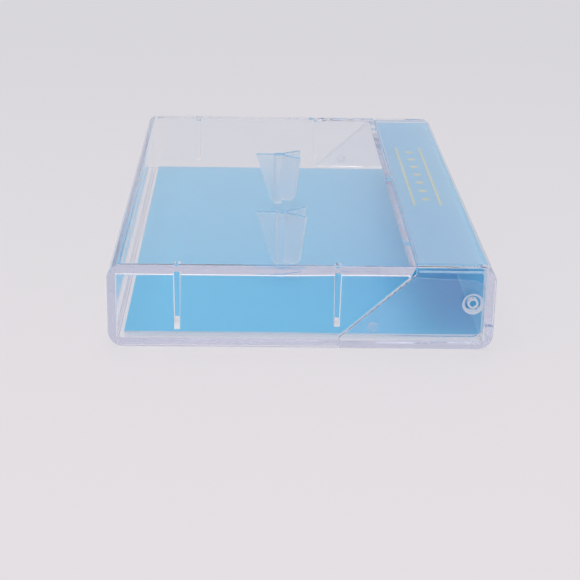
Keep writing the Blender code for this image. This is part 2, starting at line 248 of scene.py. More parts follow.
table_shape = bmesh.new()
bmesh.ops.create_circle(table_shape, cap_ends=True, segments=TABLE_SIDES, radius=TABLE_RADIUS)
table_mesh = bpy.data.meshes.new("table")
table_shape.to_mesh(table_mesh)
table_shape.free()
table = bpy.data.objects.new("table", table_mesh)
table.data.materials.append(table_finish())
table.location.z = -TABLE_GAP
scene.collection.objects.link(table)
print("table radius", TABLE_RADIUS, "m")

# %% [markdown]
# Both halves are injection-moulded clear polystyrene. Thin walls look colourless, but along an edge the
# eye looks through centimetres of plastic and sees a faint lavender. Volume absorption gives just that:
# the tint comes from the length of the way through, not from paint. The surface has a faint waviness from
# the mould and fine handling scuffs, which come from noise. Some faces are left matt by the mould. A face
# attribute named frost says which, and the material adds it to the roughness.

# %% Clear plastic
PLASTIC_COLOUR = (0.985, 0.982, 0.995, 1.0)
PLASTIC_IOR = 1.59
PLASTIC_TINT = (0.17, 0.27, 0.71, 1.0)
PLASTIC_DENSITY = 2.9
SCUFF_NOISE = (45.0, 4.0)
SCUFF_RANGE = (0.52, 0.72)
SCUFF_ROUGHNESS = (0.012, 0.06)
FROST_ROUGHNESS = 0.45
FLOW_NOISE = (60.0, 1.0)
FLOW_RELIEF = (0.1, 0.04 * MM)


def clear_plastic(name, scuff_shift):
    material, tree, shader = new_material(name)
    fill(tree, shader, Base_Color=PLASTIC_COLOUR, Transmission_Weight=1.0, IOR=PLASTIC_IOR)
    shift = (scuff_shift, 0.0, 0.0)
    place = node(tree, "ShaderNodeMapping", Vector=own_place(tree), Location=shift)["Vector"]
    rubbed = ramp(tree, noise(tree, place, *SCUFF_NOISE), *SCUFF_RANGE)
    haze = stretch(tree, rubbed, *SCUFF_ROUGHNESS)
    rough = math_node(tree, "MULTIPLY_ADD", face_mark(tree, "frost"), FROST_ROUGHNESS, haze)
    fill(tree, shader, Roughness=rough)
    relief(tree, shader, noise(tree, place, *FLOW_NOISE), *FLOW_RELIEF)
    inside = node(tree, "ShaderNodeVolumeAbsorption", Color=PLASTIC_TINT, Density=PLASTIC_DENSITY)
    fill(tree, tree.nodes["Material Output"], Volume=inside["Volume"])
    return material


tray_plastic = clear_plastic("clear tray plastic", 0.0)
cover_plastic = clear_plastic("clear cover plastic", 3.7)
print("plastics", tray_plastic.name, "and", cover_plastic.name)

# %% [markdown]
# Where plastic rubs on plastic, as at the hinge, it turns white. That is a second, opaque material on a few
# small faces. The same pale material is painted on as light in two places: a painted highlight down one edge
# of each prong's core and painted light along the lip's edge. It could be a pattern inside the clear
# material, but two plain materials are easier to read.

# %% Rubbed rims and painted highlights
RIM_PALE = (0.80, 0.86, 0.94, 1.0)
RIM_SHADE = (0.62, 0.73, 0.86, 1.0)
RIM_MOTTLE_NOISE = (1500.0, 2.0)
RIM_ROUGHNESS = 0.5


def rubbed_and_highlight_finish():
    # Pale matt material: rubbed plastic at hinge and snaps, and painted highlight on prong cores and lip
    # edge.
    material, tree, shader = new_material("rubbed and highlight rim")
    wear = noise(tree, own_place(tree), *RIM_MOTTLE_NOISE)
    fill(tree, shader, Base_Color=blend(tree, wear, RIM_PALE, RIM_SHADE), Roughness=RIM_ROUGHNESS)
    return material


rubbed_and_highlight_rim = rubbed_and_highlight_finish()
print("rim", rubbed_and_highlight_rim.name)

# %% [markdown]
# The card is coated board with blue print on both sides. Inside, towards the fold, its colour is painted
# lighter and greener as painted light against the shade under the flap. The print has a faint mottle and
# the coat a fine tooth, and where the sheet was cut its pale core shows. Face attributes named inner_side
# and cut_edge mark those faces when the card is made, and the material reads them. Where the flap touches
# the lip above it, the print is seen with no air between and would look too deep, so its tone there is
# painted paler, by a ramp on height, as a painted reflection in place of the one the air would give.

# %% Blue card
CARD_OUTSIDE = (0.13, 0.53, 0.81, 1.0)
CARD_INSIDE = (0.095, 0.56, 0.86, 1.0)
CARD_PAINTED_LIGHT_AT_FOLD = (0.06, 0.63, 0.89, 1.0)
FOLD_RANGE = (14.0 * MM, 26.0 * MM)
CARD_CLINGING_PAINTED_REFLECTION = (0.48, 0.76, 0.93, 1.0)
CLING_RANGE = (14.09 * MM, 14.102 * MM)
CARD_CORE = (0.58, 0.73, 0.86, 1.0)
MOTTLE_DARK = (0.95, 0.95, 0.96, 1.0)
MOTTLE_LIGHT = (1.0, 1.0, 1.0, 1.0)
MOTTLE_NOISE = (900.0, 3.0)
COAT_ROUGHNESS = (0.38, 0.5)
TOOTH_NOISE = (4000.0, 2.0)
TOOTH_RELIEF = (0.15, 0.02 * MM)


def card_finish():
    material, tree, shader = new_material("blue card")
    place = own_place(tree)
    parts = node(tree, "ShaderNodeSeparateXYZ", Vector=place)
    # Painted light: inside, towards the fold, the colour is lighter and greener against the shade under the
    # flap.
    inside = blend(tree, ramp(tree, parts["X"], *FOLD_RANGE), CARD_INSIDE, CARD_PAINTED_LIGHT_AT_FOLD)
    # Painted reflection: the flap is painted paler where it touches the lip, in place of the veil an air gap
    # would reflect.
    outside = blend(tree, ramp(tree, parts["Z"], *CLING_RANGE), CARD_OUTSIDE, CARD_CLINGING_PAINTED_REFLECTION)
    print_and_painted_light = blend(tree, face_mark(tree, "inner_side"), outside, inside)
    mottle = noise(tree, place, *MOTTLE_NOISE)
    spots = blend(tree, mottle, MOTTLE_LIGHT, MOTTLE_DARK)
    mottled_print_and_light = blend(tree, 1.0, print_and_painted_light, spots, "MULTIPLY")
    colour = blend(tree, face_mark(tree, "cut_edge"), mottled_print_and_light, CARD_CORE)
    fill(tree, shader, Base_Color=colour, Roughness=stretch(tree, mottle, *COAT_ROUGHNESS))
    relief(tree, shader, noise(tree, place, *TOOTH_NOISE), *TOOTH_RELIEF)
    return material


blue_card = card_finish()
print("card finish", blue_card.name)

# %% [markdown]
# All places come from the frame: the outer faces from the boxes of its solids and the pivot from its hinge.
# Only wall thicknesses and small features are written here as sizes, in millimetres.

# %% Places from the frame
cover_low, cover_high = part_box("cover_half")
card_low, card_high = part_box("card_insert")
PIVOT = Vector(frame["joints"][0]["pos_m"])
OPENING_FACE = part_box("tray_half")[0].x
SPINE_FACE = cover_high.x
END_FACE = cover_high.y
TOP = cover_high.z
FLOOR_EDGE = cover_low.x
CORNER_RADIUS = 2.8 * MM
CLEARANCE = 0.3 * MM
MARGIN = 5.0 * MM

# %% [markdown]
# Most shapes of the case are one flat outline made solid, so the first helper draws an outline. A round
# corner is the arc that touches both of its sides. Its middle comes from the angle between them, so only
# the corner and a radius have to be written.

# %% Outlines with round corners
ARC_STEP = math.radians(7.5)


def rounded_outline(corners):
    """Points of a closed outline from corners of (x, z, radius)."""
    points = []
    for index, (x, z, radius) in enumerate(corners):
        here = Vector((x, z))
        if radius == 0.0:
            points.append(here)
            continue
        before = (Vector(corners[index - 1][:2]) - here).normalized()
        after = (Vector(corners[(index + 1) % len(corners)][:2]) - here).normalized()
        half_angle = before.angle(after) / 2
        middle = here + (before + after).normalized() * radius / math.sin(half_angle)
        start = here + before * radius / math.tan(half_angle) - middle
        end = here + after * radius / math.tan(half_angle) - middle
        turn = start.angle_signed(end)
        steps = max(2, round(abs(turn) / ARC_STEP))
        points += [middle + Matrix.Rotation(-turn * step / steps, 2) @ start for step in range(steps + 1)]
    return points


# %% [markdown]
# An outline pulled along an axis is a solid, and one helper for each axis does that. Each solid is cleaned
# at once, with doubles merged and faces turned outwards, because cuts only work on closed shapes.

# %% Solids
WELD = 0.0005 * MM
ROUND_SIDES = 64


def solid(name, shape):
    """A piece from a finished bmesh, cleaned."""
    bmesh.ops.remove_doubles(shape, verts=shape.verts, dist=WELD)
    bmesh.ops.recalc_face_normals(shape, faces=shape.faces)
    mesh = bpy.data.meshes.new(name)
    shape.to_mesh(mesh)
    shape.free()
    piece = bpy.data.objects.new(name, mesh)
    scene.collection.objects.link(piece)
    return piece


def pulled(name, points, way):
    """A flat outline pulled along a direction into a solid."""
    shape = bmesh.new()
    face = shape.faces.new([shape.verts.new(point) for point in points])
    grown = bmesh.ops.extrude_face_region(shape, geom=[face])["geom"]
    moved = [part for part in grown if isinstance(part, bmesh.types.BMVert)]
    bmesh.ops.translate(shape, vec=way, verts=moved)
    return solid(name, shape)


def bar(name, outline, low, high):
    """An outline in X and Z made solid between two values of Y."""
    return pulled(name, [(x, low, z) for x, z in outline], (0.0, high - low, 0.0))


def slab(name, outline, low, high):
    """An outline in X and Y made solid between two values of Z."""
    return pulled(name, [(x, y, low) for x, y in outline], (0.0, 0.0, high - low))


def beam(name, outline, low, high):
    """An outline in Y and Z made solid between two values of X."""
    return pulled(name, [(low, y, z) for y, z in outline], (high - low, 0.0, 0.0))


def block(name, low, high):
    """A box between two corners."""
    shape = bmesh.new()
    size = Matrix.Diagonal((*(Vector(high) - Vector(low)), 1.0))
    bmesh.ops.create_cube(shape, size=1.0, matrix=Matrix.Translation((Vector(low) + Vector(high)) / 2) @ size)
    return solid(name, shape)


def tapered_round(name, start, end, start_diameter, end_diameter, sides=ROUND_SIDES):
    """A cylinder or cone between two points."""
    axis = end - start
    turn = Vector((0.0, 0.0, 1.0)).rotation_difference(axis).to_matrix().to_4x4()
    shape = bmesh.new()
    bmesh.ops.create_cone(
        shape, cap_ends=True, segments=sides, radius1=start_diameter / 2, radius2=end_diameter / 2,
        depth=axis.length, matrix=Matrix.Translation((start + end) / 2) @ turn,
    )
    return solid(name, shape)


# %% [markdown]
# Cuts and joins use the Manifold Boolean, which keeps closed shapes closed, and each result is made plain
# mesh at once. A rounded edge is a bevel on edges that a rule picks out.

# %% Cuts, joins and round edges
SHARP = math.radians(35.0)


def opened(mesh):
    """A bmesh of a mesh."""
    shape = bmesh.new()
    shape.from_mesh(mesh)
    return shape


def write_back(shape, mesh):
    """Merge the doubles of a bmesh and put it into a mesh."""
    bmesh.ops.remove_doubles(shape, verts=shape.verts, dist=WELD)
    shape.to_mesh(mesh)
    shape.free()


def evaluated(piece):
    """A new mesh of a piece with its modifiers carried out."""
    bpy.context.view_layer.update()
    return bpy.data.meshes.new_from_object(piece.evaluated_get(bpy.context.evaluated_depsgraph_get()))


def plain_mesh(piece):
    """Turn a piece's modifiers into plain mesh."""
    mesh = evaluated(piece)
    piece.modifiers.clear()
    piece.data = mesh


def combine(piece, tool, operation):
    """Cut a tool out of a piece or join it on, and clean the result."""
    step = piece.modifiers.new(operation, "BOOLEAN")
    step.operation = operation
    step.solver = "MANIFOLD"
    step.object = tool
    plain_mesh(piece)
    bpy.data.objects.remove(tool, do_unlink=True)
    write_back(opened(piece.data), piece.data)


def cut(piece, tool):
    combine(piece, tool, "DIFFERENCE")


def join(piece, tool):
    combine(piece, tool, "UNION")


def round_edges(piece, radius, steps, wanted=None):
    """Round the sharp edges of a piece, or those whose middle a rule picks."""
    shape = opened(piece.data)
    edges = []
    for edge in shape.edges:
        if not edge.is_manifold or edge.calc_face_angle() < SHARP:
            continue
        middle = (edge.verts[0].co + edge.verts[1].co) / 2
        if wanted is None or wanted(middle):
            edges.append(edge)
    bmesh.ops.bevel(
        shape, geom=edges, offset=radius, offset_type="OFFSET", segments=steps, profile=0.5,
        affect="EDGES", clamp_overlap=False, loop_slide=True,
    )
    write_back(shape, piece.data)
    return piece


# %% [markdown]
# Clear plastic shows every fault of its shading, so weighted normals keep flat faces truly flat next to
# round edges. A rule on a face can also store a number there for a material to read, or give the face a
# second material. Such rules follow the sizes, where painting by hand would have to be done again.

# %% Shading and marks on faces


def smooth_over(piece, material):
    """Smooth shading with flat faces kept flat."""
    piece.data.materials.clear()
    piece.data.materials.append(material)
    piece.data.shade_smooth()
    piece.data.set_sharp_from_angle(angle=SHARP)
    weights = piece.modifiers.new("flat faces lead", "WEIGHTED_NORMAL")
    weights.keep_sharp = True
    plain_mesh(piece)


def mark_faces(piece, name, amount):
    """Store on each face what a rule gives for its centre."""
    marks = piece.data.attributes.new(name, "FLOAT", "FACE")
    for face in piece.data.polygons:
        marks.data[face.index].value = float(amount(face.center))


def paint_faces(piece, material, wanted):
    """Give another material to the faces whose centre and normal a rule picks."""
    piece.data.materials.append(material)
    count = 0
    for face in piece.data.polygons:
        if wanted(face.center, face.normal):
            face.material_index = len(piece.data.materials) - 1
            count += 1
    print(piece.name, count, "faces in", material.name)


def report(piece):
    """Print a piece's faces, open edges and volume."""
    shape = opened(piece.data)
    loose = sum(not edge.is_manifold for edge in shape.edges)
    volume = shape.calc_volume() / MM ** 3
    shape.free()
    print(piece.name, len(piece.data.polygons), "faces", loose, "open edges", round(volume, 1), "mm3")


# %% [markdown]
# The tray half is the upper shell: a panel, the wall at the opening edge and two end walls. A flat arm
# reaches from each end wall to the pivot, behind the cheek of the cover. Two of its edges follow a rule. The
# panel's edge beside the lip lies on a circle round the pivot, so that it clears the lip as it swings, and
# the upper edge of the arms falls towards the spine.

# %% Sizes of the tray's walls and arms
LIP_REACH = 14.5 * MM
CHEEK_REACH = 28.0 * MM
CHEEK_WALL = 1.1 * MM
CHEEK_FOOT_HEIGHT = 2.15 * MM
SEAM_SIDE_GAP = 0.16 * MM
SEAM_RISE = 0.07 * MM
SWING_CLEARANCE = 0.04 * MM
TRAY_PANEL = 2.05 * MM
OPENING_WALL = 1.4 * MM
END_WALL = CHEEK_WALL + CLEARANCE
EDGE_KINK_DROP = 0.3 * MM
COVER_FLOOR = 1.3 * MM
PIN_DIAMETER = 2.0 * MM
ARM_THICKNESS = 0.8 * MM
ARM_PIN_WALL = 1.2 * MM
ARM_FLOOR_GAP = 0.75 * MM
ARM_TRAY_DROP = 2.2 * MM
ARM_SPINE_DROP = 2.8 * MM
LIP_EDGE = SPINE_FACE - LIP_REACH
CHEEK_FOOT = SPINE_FACE - CHEEK_REACH
CHEEK_INNER = END_FACE - CHEEK_WALL
TRAY_FOOT = CHEEK_FOOT - SEAM_SIDE_GAP
PANEL_UNDERSIDE = TOP - TRAY_PANEL
OPENING_INNER = OPENING_FACE + OPENING_WALL
END_WALL_INNER = END_FACE - END_WALL
SEAM_KINK = PANEL_UNDERSIDE - EDGE_KINK_DROP
ARM_OUTER = CHEEK_INNER - CLEARANCE
ARM_INNER = ARM_OUTER - ARM_THICKNESS
ARM_FOOT = COVER_FLOOR + ARM_FLOOR_GAP
ARM_END = PIVOT.x + PIN_DIAMETER / 2 + ARM_PIN_WALL


def swing_edge(z):
    """X of the panel's edge beside the lip, at a height."""
    radius = math.hypot(LIP_EDGE - PIVOT.x, TOP - PIVOT.z) + SWING_CLEARANCE
    return PIVOT.x - math.sqrt(radius ** 2 - (z - PIVOT.z) ** 2)


def arm_upper_edge(x):
    """Z of an arm's upper edge."""
    start = swing_edge(SEAM_KINK)
    fall = (ARM_SPINE_DROP - ARM_TRAY_DROP) / (ARM_END - start)
    return TOP - ARM_TRAY_DROP - fall * (x - start)


print("end wall", round(END_WALL / MM, 2), "mm")

# %% [markdown]
# An arm is a bar with an outline of its own, a little too thick, so that the hollow can trim it. Its upper
# edge also slants down inwards: a level edge would show behind the clear cheek as a bright line.

# %% Arms
OVERLAP = 0.3 * MM
EDGE_ROUND = 0.14 * MM
EDGE_STEPS = 3
ARM_CORNER_RADIUS = 2.0 * MM
ARM_LAP = 0.5 * MM
ARM_TOP_SLANT = math.radians(22.0)


def arm(side):
    panel_edge = swing_edge(SEAM_KINK)
    outline = rounded_outline([
        (TRAY_FOOT - ARM_LAP, ARM_FOOT, 0.0),
        (ARM_END, ARM_FOOT, ARM_CORNER_RADIUS),
        (ARM_END, arm_upper_edge(ARM_END), ARM_CORNER_RADIUS),
        (panel_edge, arm_upper_edge(panel_edge), 0.0),
        (panel_edge - ARM_LAP, arm_upper_edge(panel_edge), 0.0),
    ])
    made = bar("arm", outline, *sorted((side * (ARM_INNER - OVERLAP), side * ARM_OUTER)))
    for vertex in made.data.vertices:
        if abs(vertex.co.y) < ARM_INNER and vertex.co.z > PIVOT.z:
            vertex.co.z -= (ARM_THICKNESS + OVERLAP) * math.tan(ARM_TOP_SLANT)
    return round_edges(made, EDGE_ROUND, EDGE_STEPS, lambda middle: abs(middle.y) > ARM_OUTER - WELD)


print("arm's upper edge at", round(arm_upper_edge(PIVOT.x) / MM, 2), "mm")

# %% [markdown]
# The shell is one bar with the outline of its end. A beam with round upper edges trims it, which rounds the
# top of both ends in one cut. One slab hollows shell and arms from below. It narrows towards the arms, so
# that wall and arm are flush inside. Rounding the slab before the cut gives the inside corners their
# fillets, which is far safer than to bevel them afterwards.

# %% Tray shell
RIM_ROUND = 0.22 * MM
RIM_STEPS = 4
TOP_ROUND = 0.8 * MM
INNER_ROUND = 0.3 * MM
INNER_STEPS = 6
ARM_TAPER = 8.0 * MM
HAIR = 0.003 * MM


def soften_top_ends(shell):
    """Round the top of both ends."""
    wide = END_FACE + HAIR
    high = TOP + HAIR
    outline = rounded_outline([
        (-wide, -MARGIN, 0.0),
        (wide, -MARGIN, 0.0),
        (wide, high, TOP_ROUND),
        (-wide, high, TOP_ROUND),
    ])
    combine(shell, beam("end_shape", outline, OPENING_FACE - MARGIN, SPINE_FACE + MARGIN), "INTERSECT")


def tray_plan():
    """The hollow seen from above."""
    arm_start = TRAY_FOOT - ARM_LAP
    half = [
        (OPENING_INNER, END_WALL_INNER),
        (arm_start - ARM_TAPER, END_WALL_INNER),
        (arm_start, ARM_INNER),
        (SPINE_FACE, ARM_INNER),
    ]
    return half + [(x, -y) for x, y in reversed(half)]


def tray_shell():
    outline = rounded_outline([
        (OPENING_FACE, 0.0, CORNER_RADIUS),
        (TRAY_FOOT, 0.0, 0.0),
        (TRAY_FOOT, CHEEK_FOOT_HEIGHT + SEAM_RISE, 0.0),
        (swing_edge(SEAM_KINK), SEAM_KINK, 0.0),
        (swing_edge(TOP), TOP, 0.0),
        (OPENING_FACE, TOP, CORNER_RADIUS),
    ])
    shell = bar("clear_tray", outline, -END_FACE, END_FACE)

    def on_end_rim(middle):
        on_seam = middle.x > TRAY_FOOT - RIM_ROUND and middle.z < TOP - RIM_ROUND
        return abs(middle.y) > END_FACE - WELD and not on_seam

    round_edges(shell, RIM_ROUND, RIM_STEPS, on_end_rim)
    round_edges(shell, EDGE_ROUND, EDGE_STEPS, lambda middle: middle.z < TOP - WELD)
    soften_top_ends(shell)
    join(shell, arm(-1))
    join(shell, arm(1))
    hollow = slab("tray_hollow", tray_plan(), -MARGIN, PANEL_UNDERSIDE)
    cut(shell, round_edges(hollow, INNER_ROUND, INNER_STEPS))
    foot_low = (OPENING_INNER + MARGIN, -END_WALL_INNER, -MARGIN)
    cut(shell, block("tray_hollow_foot", foot_low, (SPINE_FACE, END_WALL_INNER, ARM_FOOT)))
    return shell


tray = tray_shell()
report(tray)

# %% [markdown]
# A short pin stands on the end of each arm and turns in a hole of the cheek. A low bump near the foot of
# the arm snaps into a dimple of the cheek when the case is shut. Both are plain rounds joined on.

# %% Pins and snap bumps
PIN_RECESS = 0.15 * MM
PIN_EDGE_ROUND = 0.1 * MM
PIN_DIMPLE_DIAMETER = 1.2 * MM
PIN_DIMPLE_DEPTH = 0.5 * MM
SNAP_FROM_SPINE = 22.0 * MM
SNAP_HEIGHT = 4.0 * MM
SNAP_DIAMETER = 1.6 * MM
SNAP_TIP_DIAMETER = 1.0 * MM
SNAP_RISE = 0.15 * MM
SNAP_SIDES = 32


def snap_point(y):
    return Vector((SPINE_FACE - SNAP_FROM_SPINE, y, SNAP_HEIGHT))


def on_axis(y):
    return Vector((PIVOT.x, y, PIVOT.z))


def hinge_pin(side):
    """A round pin with a soft rim and a dimple in its end."""
    tip = side * (END_FACE - PIN_RECESS)
    root = on_axis(side * (ARM_OUTER - OVERLAP))
    pin = tapered_round("pin", root, on_axis(tip), PIN_DIAMETER, PIN_DIAMETER)
    round_edges(pin, PIN_EDGE_ROUND, RIM_STEPS, lambda middle: abs(middle.y) > abs(tip) - WELD)
    bottom = on_axis(tip - side * PIN_DIMPLE_DEPTH)
    mouth = on_axis(tip + side * PIN_DIMPLE_DEPTH)
    cut(pin, tapered_round("pin_dimple", bottom, mouth, PIN_DIMPLE_DIAMETER, PIN_DIMPLE_DIAMETER))
    return pin


for side in (-1, 1):
    join(tray, hinge_pin(side))
    bump_root = snap_point(side * (ARM_OUTER - OVERLAP))
    bump_tip = snap_point(side * (ARM_OUTER + SNAP_RISE))
    join(tray, tapered_round("snap_bump", bump_root, bump_tip, SNAP_DIAMETER, SNAP_TIP_DIAMETER, SNAP_SIDES))
report(tray)

# %% [markdown]
# Ribs, prongs, card and foil each repeat a shape or follow a rule, which is work for Geometry Nodes. These
# helpers start a tree with a named input for each size, end it in Realize Instances and Set Material, and
# turn what it grows into plain mesh. The inputs are set by their identifiers before the first evaluation.

# %% Helpers for Geometry Nodes


def new_tree(name, sizes):
    """A tree with a named input for each size, and the sockets of those inputs."""
    tree = bpy.data.node_groups.new(name, "GeometryNodeTree")
    tree.interface.new_socket("Geometry", in_out="INPUT", socket_type="NodeSocketGeometry")
    for size in sizes:
        tree.interface.new_socket(size, in_out="INPUT", socket_type="NodeSocketFloat")
    tree.interface.new_socket("Material", in_out="INPUT", socket_type="NodeSocketMaterial")
    tree.interface.new_socket("Geometry", in_out="OUTPUT", socket_type="NodeSocketGeometry")
    return tree, tree.nodes.new("NodeGroupInput").outputs


def close_tree(tree, geometry, material):
    """End a tree with Realize Instances and Set Material."""
    real = node(tree, "GeometryNodeRealizeInstances", Geometry=geometry)[0]
    painted = node(tree, "GeometryNodeSetMaterial", Geometry=real, Material=material)[0]
    node(tree, "NodeGroupOutput", Geometry=painted)


def grow(name, tree, sizes, material, curve=None):
    """What a tree makes, from a curve if there is one, as a piece of plain mesh."""
    holder = bpy.data.objects.new(name + "_holder", curve or bpy.data.meshes.new(name))
    scene.collection.objects.link(holder)
    step = holder.modifiers.new(tree.name, "NODES")
    step.node_group = tree
    values = {**sizes, "Material": material}
    for item in tree.interface.items_tree:
        if item.in_out == "INPUT" and item.name in values:
            step[item.identifier] = values[item.name]
    mesh = evaluated(holder)
    bpy.data.objects.remove(holder, do_unlink=True)
    piece = solid(name, opened(mesh))
    piece.data.materials.append(material)
    return piece


def point(tree, **parts):
    """A vector from its parts."""
    return node(tree, "ShaderNodeCombineXYZ", **parts)[0]


def copied(tree, shape, points, **turn):
    """One copy of a shape on each point."""
    return node(tree, "GeometryNodeInstanceOnPoints", Points=points, Instance=shape, **turn)[0]


def row(tree, count, start, step):
    """Points in a straight row."""
    return node(tree, "GeometryNodeMeshLine", Count=count, Start_Location=start, Offset=step)[0]


# %% [markdown]
# Two ribs stand inside each end wall and keep a cassette from sliding. A rib is a rounded rectangle swept up
# a line. Set Position then shapes it: narrower towards the foot, as a mould needs, and drawn back to the
# wall at the very foot, where the slope guides a cassette in. All four are alike, so one is made and set on
# a grid of four points, with those at the far end turned half round.

# %% Ribs
RIB_SIZES = {
    "First": OPENING_FACE + 12.5 * MM,
    "Second": OPENING_FACE + 41.5 * MM,
    "Wall": END_WALL_INNER,
    "Width": 1.35 * MM,
    "Depth": 2.5 * MM,
    "Root": OVERLAP,
    "Edge round": 0.32 * MM,
    "Foot": 3.15 * MM,
    "Top": PANEL_UNDERSIDE + OVERLAP,
    "Foot share": 0.78,
    "Lead in": 2.0 * MM,
    "Toe share": 0.22,
}
RIB_RINGS = 28
RIB_CORNER_STEPS = 4


def parts_of_place(tree):
    """X, Y and Z of each point."""
    place = node(tree, "GeometryNodeInputPosition")[0]
    return node(tree, "ShaderNodeSeparateXYZ", Vector=place)


def rib_post(tree, sizes):
    """A straight post with round corners."""
    foot = point(tree, Z=sizes["Foot"])
    top = point(tree, Z=sizes["Top"])
    line = node(tree, "GeometryNodeCurvePrimitiveLine", Start=foot, End=top)[0]
    rings = node(tree, "GeometryNodeResampleCurve", Curve=line, Count=RIB_RINGS)[0]
    flat = {"Width": sizes["Width"], "Height": sizes["Depth"]}
    section = node(tree, "GeometryNodeCurvePrimitiveQuadrilateral", **flat)[0]
    corners = {"Count": RIB_CORNER_STEPS, "Radius": sizes["Edge round"]}
    rounded = node(tree, "GeometryNodeFilletCurve", {"mode": "POLY"}, Curve=section, **corners)[0]
    return node(tree, "GeometryNodeCurveToMesh", Curve=rings, Profile_Curve=rounded, Fill_Caps=True)[0]


def growing(tree, value, low, high, start):
    """A share that grows from its start at a low value to 1 at a high one."""
    return node(tree, "ShaderNodeMapRange", Value=value, From_Min=low, From_Max=high, To_Min=start)[0]


def rib_shape(tree, sizes):
    """The post with its draft and its sloped foot, standing out from its wall."""
    place = parts_of_place(tree)
    draft = growing(tree, place["Z"], sizes["Foot"], sizes["Top"], sizes["Foot share"])
    lead_top = math_node(tree, "ADD", sizes["Foot"], sizes["Lead in"])
    lead = growing(tree, place["Z"], sizes["Foot"], lead_top, sizes["Toe share"])
    narrow = math_node(tree, "MULTIPLY", place["X"], draft)
    stand = math_node(tree, "MULTIPLY_ADD", sizes["Depth"], 0.5, place["Y"])
    reach = math_node(tree, "MULTIPLY", stand, lead)
    sunk = math_node(tree, "SUBTRACT", reach, sizes["Root"])
    shaped = point(tree, X=narrow, Y=sunk, Z=place["Z"])
    post = rib_post(tree, sizes)
    return node(tree, "GeometryNodeSetPosition", Geometry=post, Position=shaped)[0]


def rib_points(tree, sizes):
    """Two points on the inner face of each end wall."""
    apart = math_node(tree, "SUBTRACT", sizes["Second"], sizes["First"])
    across = math_node(tree, "MULTIPLY", sizes["Wall"], 2.0)
    grid = node(tree, "GeometryNodeMeshGrid", Size_X=apart, Size_Y=across, Vertices_X=2, Vertices_Y=2)["Mesh"]
    middle = math_node(tree, "MULTIPLY_ADD", apart, 0.5, sizes["First"])
    return node(tree, "GeometryNodeSetPosition", Geometry=grid, Offset=point(tree, X=middle))[0]


def rib_tree():
    tree, sizes = new_tree("ribs", RIB_SIZES)
    at_far_end = math_node(tree, "GREATER_THAN", parts_of_place(tree)["Y"], 0.0)
    half_turn = point(tree, Z=math_node(tree, "MULTIPLY", at_far_end, math.pi))
    ribs = copied(tree, rib_shape(tree, sizes), rib_points(tree, sizes), Rotation=half_turn)
    close_tree(tree, ribs, sizes["Material"])
    return tree


def reach_of(piece):
    """Lowest and highest corner of a piece, in millimetres."""
    corners = (piece.bound_box[0], piece.bound_box[6])
    return [tuple(round(value / MM, 2) for value in corner) for corner in corners]


ribs = grow("ribs", rib_tree(), RIB_SIZES, tray_plastic)
print("ribs reach", reach_of(ribs))
report(ribs)
join(tray, ribs)
report(tray)

# %% [markdown]
# Two prongs hang from the panel and sit in the hubs of a cassette. Each is a tapered core with one fin
# towards the opening edge and two towards the spine. Fins are bars turned into place and joined to the
# core. The prong is made once, and Geometry Nodes sets it on two points.

# %% Prongs
PRONG_SPACING = 42.5 * MM
PRONG_FROM_OPENING = 31.8 * MM
PRONG_FOOT = 2.3 * MM
PRONG_CORE_ROOT = 2.6 * MM
PRONG_CORE_TIP = 1.9 * MM
PRONG_CORE_SIDES = 48
PRONG_EDGE_ROUND = 0.2 * MM
FIN_THICKNESS = 0.9 * MM
FIN_TIP_RADIUS = 1.8 * MM
# Each fin has a reach at its root, a reach at its tip and a rise of its foot.
BACK_FIN = (5.2 * MM, 1.5 * MM, 0.4 * MM)
SIDE_FIN = (5.8 * MM, 4.4 * MM, 1.1 * MM)
SIDE_FIN_ANGLE = 34.0
FINS = ((180.0, BACK_FIN), (SIDE_FIN_ANGLE, SIDE_FIN), (-SIDE_FIN_ANGLE, SIDE_FIN))


def hub_prong():
    root = PANEL_UNDERSIDE + OVERLAP
    foot_point = Vector((0.0, 0.0, PRONG_FOOT))
    root_point = Vector((0.0, 0.0, root))
    prong = tapered_round("prong", foot_point, root_point, PRONG_CORE_TIP, PRONG_CORE_ROOT, PRONG_CORE_SIDES)
    round_edges(prong, PRONG_EDGE_ROUND, RIM_STEPS, lambda middle: middle.z < PRONG_FOOT + WELD)
    for angle, (root_reach, tip_reach, foot_rise) in FINS:
        fin_foot = PRONG_FOOT + foot_rise
        outline = rounded_outline([
            (0.0, fin_foot, 0.0),
            (tip_reach, fin_foot, FIN_TIP_RADIUS),
            (root_reach, root, 0.0),
            (0.0, root, 0.0),
        ])
        fin = bar("fin", outline, -FIN_THICKNESS / 2, FIN_THICKNESS / 2)
        round_edges(fin, PRONG_EDGE_ROUND, RIM_STEPS)
        fin.data.transform(Matrix.Rotation(math.radians(angle), 4, "Z"))
        join(prong, fin)
    return prong


def pair_tree(shape):
    """Two copies of a shape, a distance apart along Y."""
    tree, sizes = new_tree("pair", {"Spacing": 0.0, "Place": 0.0})
    half = math_node(tree, "MULTIPLY", sizes["Spacing"], -0.5)
    start = point(tree, X=sizes["Place"], Y=half)
    places = row(tree, 2, start, point(tree, Y=sizes["Spacing"]))
    original = node(tree, "GeometryNodeObjectInfo", Object=shape)["Geometry"]
    close_tree(tree, copied(tree, original, places), sizes["Material"])
    return tree


prong = hub_prong()
report(prong)
pair_sizes = {"Spacing": PRONG_SPACING, "Place": OPENING_FACE + PRONG_FROM_OPENING}
prongs = grow("prongs", pair_tree(prong), pair_sizes, tray_plastic)
bpy.data.objects.remove(prong, do_unlink=True)
join(tray, prongs)
smooth_over(tray, tray_plastic)
report(tray)

# %% [markdown]
# The prongs and the snap bumps look milky in the picture, so their faces get the frost mark. The ends of
# the pins and the sides of the bumps look white, so they get the rubbed material. One edge of each prong's
# core gets the same pale material as a painted highlight, a bright line down the core. Each rule measures
# how far a face lies from a pin's axis, a snap or a prong.

